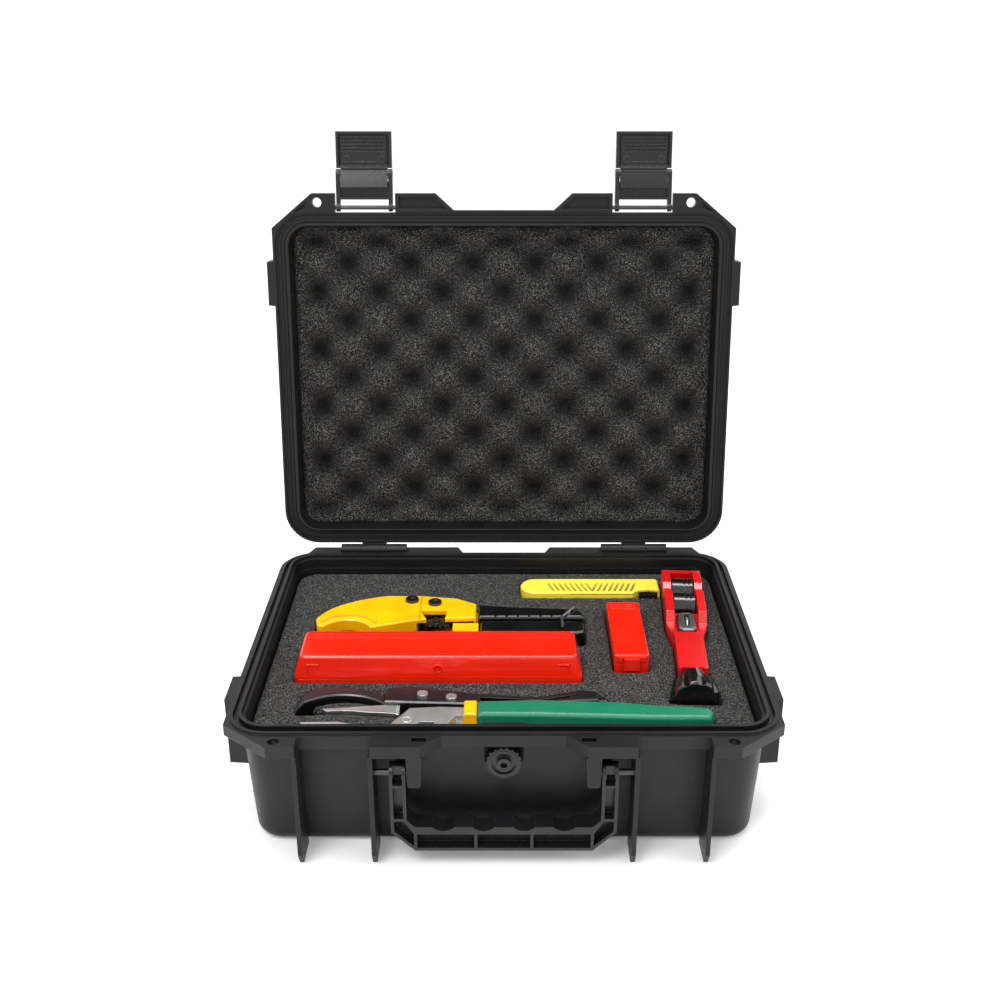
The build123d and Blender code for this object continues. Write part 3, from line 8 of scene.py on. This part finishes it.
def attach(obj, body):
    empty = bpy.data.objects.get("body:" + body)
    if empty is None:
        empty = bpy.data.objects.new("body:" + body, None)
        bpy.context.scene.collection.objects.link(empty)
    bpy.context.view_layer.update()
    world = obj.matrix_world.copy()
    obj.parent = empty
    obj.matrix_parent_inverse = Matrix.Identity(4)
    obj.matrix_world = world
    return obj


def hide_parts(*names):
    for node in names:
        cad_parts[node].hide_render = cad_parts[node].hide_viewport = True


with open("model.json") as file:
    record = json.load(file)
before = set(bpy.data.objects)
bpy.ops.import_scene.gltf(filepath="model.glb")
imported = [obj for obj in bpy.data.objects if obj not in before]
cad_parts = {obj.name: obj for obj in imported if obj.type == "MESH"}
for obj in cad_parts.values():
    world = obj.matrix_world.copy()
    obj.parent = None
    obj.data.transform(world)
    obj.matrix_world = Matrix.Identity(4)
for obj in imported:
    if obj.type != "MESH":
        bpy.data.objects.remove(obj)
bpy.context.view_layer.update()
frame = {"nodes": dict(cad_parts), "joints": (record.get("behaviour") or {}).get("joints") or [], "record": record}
nodes = frame["nodes"]


# ---------------------------------------------------------------- material building blocks
class Shader:
    """A principled material with a few helpers for procedural inputs in object coordinates (metres)."""

    def __init__(self, name, color, roughness=0.5, metallic=0.0, specular=0.5):
        self.material = bpy.data.materials.new(name)
        self.material.use_nodes = True
        self.tree = self.material.node_tree
        self.bsdf = self.tree.nodes["Principled BSDF"]
        self.set("Base Color", (*color, 1.0))
        self.set("Roughness", roughness)
        self.set("Metallic", metallic)
        self.set("Specular IOR Level", specular)
        self.coords = self.tree.nodes.new("ShaderNodeTexCoord").outputs["Object"]
        self.normal = None

    def set(self, socket, value):
        self.bsdf.inputs[socket].default_value = value

    def node(self, kind, inputs=None, **settings):
        made = self.tree.nodes.new(kind)
        for key, value in settings.items():
            setattr(made, key, value)
        for key, value in (inputs or {}).items():
            if isinstance(value, bpy.types.NodeSocket):
                self.tree.links.new(value, made.inputs[key])
            else:
                made.inputs[key].default_value = value
        return made

    def link(self, output, socket):
        self.tree.links.new(output, self.bsdf.inputs[socket])

    def stretched(self, scale):
        return self.node("ShaderNodeMapping", {"Vector": self.coords, "Scale": scale}).outputs["Vector"]

    def noise(self, scale, detail=3.0, rough=0.55, coords=None):
        made = self.node("ShaderNodeTexNoise", {"Vector": coords or self.coords, "Scale": scale,
                                                "Detail": detail, "Roughness": rough})
        return made.outputs["Fac"]

    def cells(self, scale):
        """The distance to the nearest cell's middle, and each cell's own random colour."""
        made = self.node("ShaderNodeTexVoronoi", {"Vector": self.coords, "Scale": scale}, feature="F1")
        return made.outputs["Distance"], made.outputs["Color"]

    def spread(self, value, low, high, to_low=0.0, to_high=1.0):
        made = self.node("ShaderNodeMapRange", {"Value": value, "From Min": low, "From Max": high,
                                                "To Min": to_low, "To Max": to_high})
        return made.outputs["Result"]

    def mix(self, factor, first, second):
        made = self.node("ShaderNodeMix", data_type="RGBA")
        for index, value in ((0, factor), (6, first), (7, second)):
            if isinstance(value, bpy.types.NodeSocket):
                self.tree.links.new(value, made.inputs[index])
            else:
                made.inputs[index].default_value = (*value, 1.0) if isinstance(value, tuple) else value
        return made.outputs[2]

    def rounded(self, radius):
        """Softens hard edges in the shading and returns how much an edge is softened, 0 on flats."""
        bevel = self.node("ShaderNodeBevel", {"Radius": radius}, samples=4)
        self.normal = bevel.outputs["Normal"]
        flat = self.node("ShaderNodeNewGeometry").outputs["Normal"]
        dot = self.node("ShaderNodeVectorMath", operation="DOT_PRODUCT")
        self.tree.links.new(self.normal, dot.inputs[0])
        self.tree.links.new(flat, dot.inputs[1])
        return self.spread(dot.outputs["Value"], 1.0, 0.75)

    def bump(self, height, distance, strength=1.0):
        inputs = {"Height": height, "Distance": distance, "Strength": strength}
        if self.normal is not None:
            inputs["Normal"] = self.normal
        self.normal = self.node("ShaderNodeBump", inputs).outputs["Normal"]

    def done(self):
        if self.normal is not None:
            self.link(self.normal, "Normal")
        return self.material


def plastic(name, color, roughness, grain=0.00006, edge=0.0006, wear_and_highlight=(0.11, 0.11, 0.12), wear_and_highlight_share=0.35,
            specular=0.3):
    """Moulded plastic: fine spark-eroded grain, mottled gloss, edges painted lighter as wear and painted
    highlight.
    """
    made = Shader(name, color, roughness, specular=specular)
    edges = made.rounded(edge)
    mottle = made.noise(35.0, 5.0)
    darker, lighter = tuple(c * 0.82 for c in color), tuple(c * 1.18 for c in color)
    tint = made.mix(made.spread(mottle, 0.3, 0.7), darker, lighter)
    scuffs_and_glints = made.spread(made.noise(220.0, 6.0, 0.7), 0.45, 0.75)
    # edges are painted a lighter grey, partly real wear and partly a painted highlight, broken up by noise
    share = made.node("ShaderNodeMath", operation="MULTIPLY")
    made.tree.links.new(edges, share.inputs[0])
    made.tree.links.new(made.spread(scuffs_and_glints, 0, 1, wear_and_highlight_share * 0.5, wear_and_highlight_share), share.inputs[1])
    made.link(made.mix(share.outputs[0], tint, wear_and_highlight), "Base Color")
    patches = made.noise(60.0, 6.0, 0.65)
    made.link(made.spread(patches, 0.3, 0.7, roughness - 0.07, roughness + 0.08), "Roughness")
    made.bump(made.noise(1500.0, 2.0), grain)
    return made.done()


def gloss(name, color, roughness=0.16, edge=0.0005, coat=0.4, pebble=0.00002, pebbles=420.0):
    """Glossy moulded plastic or dipped vinyl with orange peel or pebbles and faint fingerprints."""
    made = Shader(name, color, roughness)
    made.rounded(edge)
    made.set("Coat Weight", coat)
    made.set("Coat Roughness", 0.06)
    tint = made.mix(made.spread(made.noise(28.0, 4.0), 0.3, 0.7), tuple(c * 0.88 for c in color), color)
    made.link(tint, "Base Color")
    made.link(made.spread(made.noise(90.0, 6.0, 0.7), 0.35, 0.7, roughness, roughness + 0.14), "Roughness")
    made.bump(made.noise(pebbles, 2.0), pebble)
    return made.done()


def metal(name, color, roughness, along=(1.0, 14.0, 14.0), edge=0.0004, stain=0.25):
    """Ground or brushed metal: fine lines along one direction, cloudy gloss and edges painted brighter as a
    painted highlight.
    """
    made = Shader(name, color, roughness, metallic=1.0)
    edges = made.rounded(edge)
    lines = made.noise(260.0, 5.0, 0.7, made.stretched(along))
    cloud = made.spread(made.noise(45.0, 5.0), 0.35, 0.7)
    dull = made.mix(cloud, tuple(c * (1 - stain) for c in color), color)
    # the edges are painted brighter: a painted highlight
    made.link(made.mix(edges, dull, tuple(min(1.0, c * 1.5) for c in color)), "Base Color")
    made.link(made.spread(lines, 0.3, 0.7, roughness - 0.08, roughness + 0.12), "Roughness")
    made.bump(lines, 0.00002)
    return made.done()


def cast_enamel(name, color, fleck):
    """Enamel over a sand casting: pebbled surface with dark and light flecks."""
    made = Shader(name, color, 0.28)
    made.rounded(0.0007)
    made.set("Coat Weight", 0.5)
    made.set("Coat Roughness", 0.12)
    distance, _ = made.cells(900.0)
    pits = made.spread(distance, 0.0, 0.45)
    made.link(made.mix(pits, fleck, made.mix(made.spread(made.noise(50.0), 0.35, 0.65),
                                              tuple(c * 0.8 for c in color), color)), "Base Color")
    made.bump(made.noise(620.0, 3.0), 0.00012)
    return made.done()


def foam(name, dark, light, speck=2300.0):
    """Open-cell foam: charcoal with light and dark flecks the size of its cells."""
    made = Shader(name, dark, 0.95, specular=0.12)
    made.set("Sheen Weight", 0.06)
    made.set("Sheen Roughness", 0.6)
    _, colors = made.cells(speck)
    shade = made.node("ShaderNodeSeparateColor", {"Color": colors}).outputs["Red"]
    coarse = made.spread(made.noise(420.0, 4.0, 0.7), 0.35, 0.68)
    base = made.mix(coarse, tuple(c * 0.2 for c in dark), tuple(c * 1.4 for c in dark))
    specks = made.mix(made.spread(shade, 0.76, 0.99), base, light)
    # the hollows of the egg-crate face are painted dark, a painted shade for the light lost between the cells
    hollow = made.node("ShaderNodeAttribute", attribute_name="hollow").outputs["Fac"]
    in_hollow = made.spread(hollow, 0.1, 0.9, 0.0, 0.85)
    made.link(made.mix(in_hollow, specks, tuple(c * 0.12 for c in dark)), "Base Color")
    distance, _ = made.cells(820.0)
    made.bump(made.noise(520.0, 4.0, 0.75), 0.0009, 0.8)
    made.bump(distance, 0.0005, 0.6)
    return made.done()


looks = {
    "case_plastic": plastic("case_plastic", (0.0055, 0.0055, 0.0065), 0.4),
    # the latch's lighter edge grey is partly wear and partly a painted highlight
    "latch_plastic": plastic("latch_plastic", (0.008, 0.008, 0.009), 0.28, wear_and_highlight=(0.2, 0.2, 0.21),
                             specular=0.4),
    "seal_rubber": plastic("seal_rubber", (0.006, 0.006, 0.006), 0.6, wear_and_highlight_share=0.05),
    "foam": foam("foam", (0.0112, 0.0108, 0.0105), (0.2, 0.195, 0.185)),
    "pin_steel": metal("pin_steel", (0.52, 0.52, 0.53), 0.3),
    "red_plastic": gloss("red_plastic", (0.84, 0.014, 0.002), 0.12, coat=0.6),
    "yellow_plastic": gloss("yellow_plastic", (0.92, 0.75, 0.07), 0.24, coat=0.25),
    "black_plastic": gloss("black_plastic", (0.004, 0.004, 0.004), 0.1, coat=0.6),
    "blade_steel": metal("blade_steel", (0.82, 0.81, 0.78), 0.36),
    "red_metal": cast_enamel("red_metal", (0.66, 0.006, 0.006), (0.25, 0.003, 0.003)),
    "grey_metal": metal("grey_metal", (0.3, 0.3, 0.3), 0.4),
    "yellow_metal": cast_enamel("yellow_metal", (1.0, 0.52, 0.0), (0.8, 0.36, 0.0)),
    "dark_steel": metal("dark_steel", (0.09, 0.09, 0.095), 0.32),
    "green_dip": gloss("green_dip", (0.0, 0.17, 0.085), 0.3, coat=0.25, pebble=0.00025, pebbles=900.0),
}
record_slots = {entry["node"]: entry["material_slot"] for entry in frame["record"]["subparts"]}
for name, obj in nodes.items():
    if not obj.material_slots:
        obj.data.materials.append(None)
    for held in obj.material_slots:
        held.link = "OBJECT"
        held.material = looks[record_slots[name]]


# ---------------------------------------------------------------- soft pieces
def soft_copy(source, name, voxel, rounds, roughness=0.0):
    """A new soft mesh grown from a CAD solid: voxels of one size, relaxed so that cut edges round off."""
    mesh = source.data.copy()
    piece = bpy.data.objects.new(name, mesh)
    bpy.context.scene.collection.objects.link(piece)
    remesh = piece.modifiers.new("cells", "REMESH")
    remesh.mode = "VOXEL"
    remesh.voxel_size = voxel
    relax = piece.modifiers.new("relax", "SMOOTH")
    relax.factor = 0.5
    relax.iterations = rounds
    if roughness:
        texture = bpy.data.textures.new(name + "_cells", "CLOUDS")
        texture.noise_scale = 0.004
        texture.noise_depth = 3
        shove = piece.modifiers.new("cells_shove", "DISPLACE")
        shove.texture = texture
        shove.strength = roughness
        shove.mid_level = 0.5
    graph = bpy.context.evaluated_depsgraph_get()
    made = bpy.data.meshes.new_from_object(piece.evaluated_get(graph))
    piece.modifiers.clear()
    piece.data = made
    made.materials.clear()
    made.materials.append(looks["foam"])
    made.shade_smooth()
    return piece


base_foam = soft_copy(nodes["base_foam"], "base_foam_soft", voxel=0.0016, rounds=4, roughness=0.0008)
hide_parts("base_foam")
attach(base_foam, "case")

floor_pad = soft_copy(nodes["floor_pad"], "floor_pad_soft", voxel=0.0024, rounds=3)
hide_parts("floor_pad")
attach(floor_pad, "case")

# the lid's egg-crate foam is laid out with the lid shut, then turned open about the hinge line
lid_joint = next(j for j in frame["joints"] if j["name"] == "lid_hinge")
hinge = Vector(lid_joint["pos_m"])
lid_turn = radians(lid_joint["range_deg"][1])
open_lid = (Matrix.Translation(hinge) @ Matrix.Rotation(-lid_turn, 4, "X") @ Matrix.Translation(-hinge))

crate_half_x, crate_half_y = 0.1572, 0.1148
crate_peak, crate_back = 0.0990, 0.1212
crate_floor = 0.0160  # how deep the hollows are
crate_narrowing = 1.4  # above 1, the hollows are narrower than the peaks
flat_border = 0.012
lip_width, lip_drop = 0.004, 0.003
back_share_x, back_share_y = 0.985, 0.98
pitch_x, pitch_y = 0.047, 0.044
valley_x, valley_y = -0.1172, -0.0873


def crate_depth(x, y):
    """How far the foam's face sits below its peaks: round-topped peaks, narrower hollows between them."""
    wave = cos(2 * pi * (x - valley_x) / pitch_x) * cos(2 * pi * (y - valley_y) / pitch_y)
    edge = min(crate_half_x - abs(x), crate_half_y - abs(y))
    return crate_floor * (0.5 + 0.5 * wave) ** crate_narrowing * min(1.0, max(0.0, edge / flat_border))


def egg_crate(name, columns, rows, corner=0.014):
    """A closed block with a waved face and rounded corners."""
    verts, faces = [], []

    def squeeze(u, v):
        # pull the grid's corners in to a rounded rectangle
        x, y = u * crate_half_x, v * crate_half_y
        dx, dy = abs(x) - (crate_half_x - corner), abs(y) - (crate_half_y - corner)
        if dx > 0 and dy > 0:
            reach = max(dx, dy)
            length = (dx * dx + dy * dy) ** 0.5
            x = (abs(x) - dx + dx * reach / length) * (1 if x > 0 else -1)
            y = (abs(y) - dy + dy * reach / length) * (1 if y > 0 else -1)
        return x, y

    def index(layer, i, j):
        return layer * (columns + 1) * (rows + 1) + j * (columns + 1) + i

    for layer in range(2):
        for j in range(rows + 1):
            for i in range(columns + 1):
                x, y = squeeze(2 * i / columns - 1, 2 * j / rows - 1)
                if layer == 0:
                    rim = min(crate_half_x - abs(x), crate_half_y - abs(y))
                    soft = max(0.0, 1 - rim / lip_width) ** 2 * lip_drop
                    verts.append((x, y, crate_peak + crate_depth(x, y) + soft))
                else:
                    verts.append((x * back_share_x, y * back_share_y, crate_back))
    for j in range(rows):
        for i in range(columns):
            a, b, c, d = (index(0, i, j), index(0, i + 1, j), index(0, i + 1, j + 1), index(0, i, j + 1))
            faces.append((d, c, b, a))
            a, b, c, d = (index(1, i, j), index(1, i + 1, j), index(1, i + 1, j + 1), index(1, i, j + 1))
            faces.append((a, b, c, d))
    border = ([(i, 0) for i in range(columns)] + [(columns, j) for j in range(rows)]
              + [(i, rows) for i in range(columns, 0, -1)] + [(0, j) for j in range(rows, 0, -1)])
    for step, (i, j) in enumerate(border):
        k, m = border[(step + 1) % len(border)]
        faces.append((index(0, i, j), index(0, k, m), index(1, k, m), index(1, i, j)))
    mesh = bpy.data.meshes.new(name)
    mesh.from_pydata(verts, [], faces)
    front = (columns + 1) * (rows + 1)
    # the hollow depth drives the foam's painted shade in the hollows
    depths = [crate_depth(x, y) / crate_floor if i < front else 0.0 for i, (x, y, _) in enumerate(verts)]
    mesh.attributes.new("hollow", "FLOAT", "POINT").data.foreach_set("value", depths)
    mesh.transform(open_lid)
    mesh.materials.append(looks["foam"])
    mesh.shade_smooth()
    piece = bpy.data.objects.new(name, mesh)
    bpy.context.scene.collection.objects.link(piece)
    return piece


lid_foam = egg_crate("lid_foam_soft", columns=220, rows=160)
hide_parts("lid_foam")
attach(lid_foam, "lid")


# ---------------------------------------------------------------- floor, light and camera
def floor_material():
    made = Shader("floor", (0.92, 0.92, 0.92), 0.7, specular=0.2)
    made.link(made.mix(made.noise(3.0), (0.9, 0.9, 0.9), (0.94, 0.94, 0.94)), "Base Color")
    made.set("Emission Color", (1.0, 1.0, 1.0, 1.0))
    made.set("Emission Strength", 0.12)
    return made.done()


def stage_floor(half, level):
    mesh = bpy.data.meshes.new("studio_floor")
    corners = [(-half, -half, level), (half, -half, level), (half, half, level), (-half, half, level)]
    mesh.from_pydata(corners, [], [(0, 1, 2, 3)])
    mesh.materials.append(floor_material())
    piece = bpy.data.objects.new("studio_floor", mesh)
    bpy.context.scene.collection.objects.link(piece)


def area_light(name, position, target, size, power):
    data = bpy.data.lights.new(name, "AREA")
    data.shape = "RECTANGLE"
    data.size, data.size_y = size
    data.energy = power
    lamp = bpy.data.objects.new(name, data)
    lamp.location = position
    lamp.rotation_euler = (Vector(target) - Vector(position)).to_track_quat("-Z", "Y").to_euler()
    bpy.context.scene.collection.objects.link(lamp)


stage_floor(half=40.0, level=-0.0002)
area_light("key", (-0.7, -1.1, 1.9), (0, 0, 0.1), (0.9, 0.9), 24.0)
area_light("fill", (1.4, -0.9, 1.3), (0, 0, 0.1), (1.0, 1.0), 7.0)
area_light("top", (0.1, 0.25, 2.0), (0, 0, 0.1), (1.6, 0.5), 22.0)

world = bpy.data.worlds.new("studio")
world.use_nodes = True
world.node_tree.nodes["Background"].inputs["Color"].default_value = (1.0, 1.0, 1.0, 1.0)
world.node_tree.nodes["Background"].inputs["Strength"].default_value = 1.0
bpy.context.scene.world = world
bpy.context.scene.view_settings.view_transform = "Standard"

camera_data = bpy.data.cameras.new("camera")
camera_data.sensor_width = 36.0
camera_data.lens = 45.49
camera_data.shift_x = -0.0039
camera_data.shift_y = -0.0025
camera_data.clip_end = 200.0
camera = bpy.data.objects.new("camera", camera_data)
camera_down_deg = 22.93
camera.location = (0.0, -0.7642, 0.5103)
camera.rotation_euler = (radians(90.0 - camera_down_deg), 0.0, 0.0)
bpy.context.scene.collection.objects.link(camera)
bpy.context.scene.camera = camera
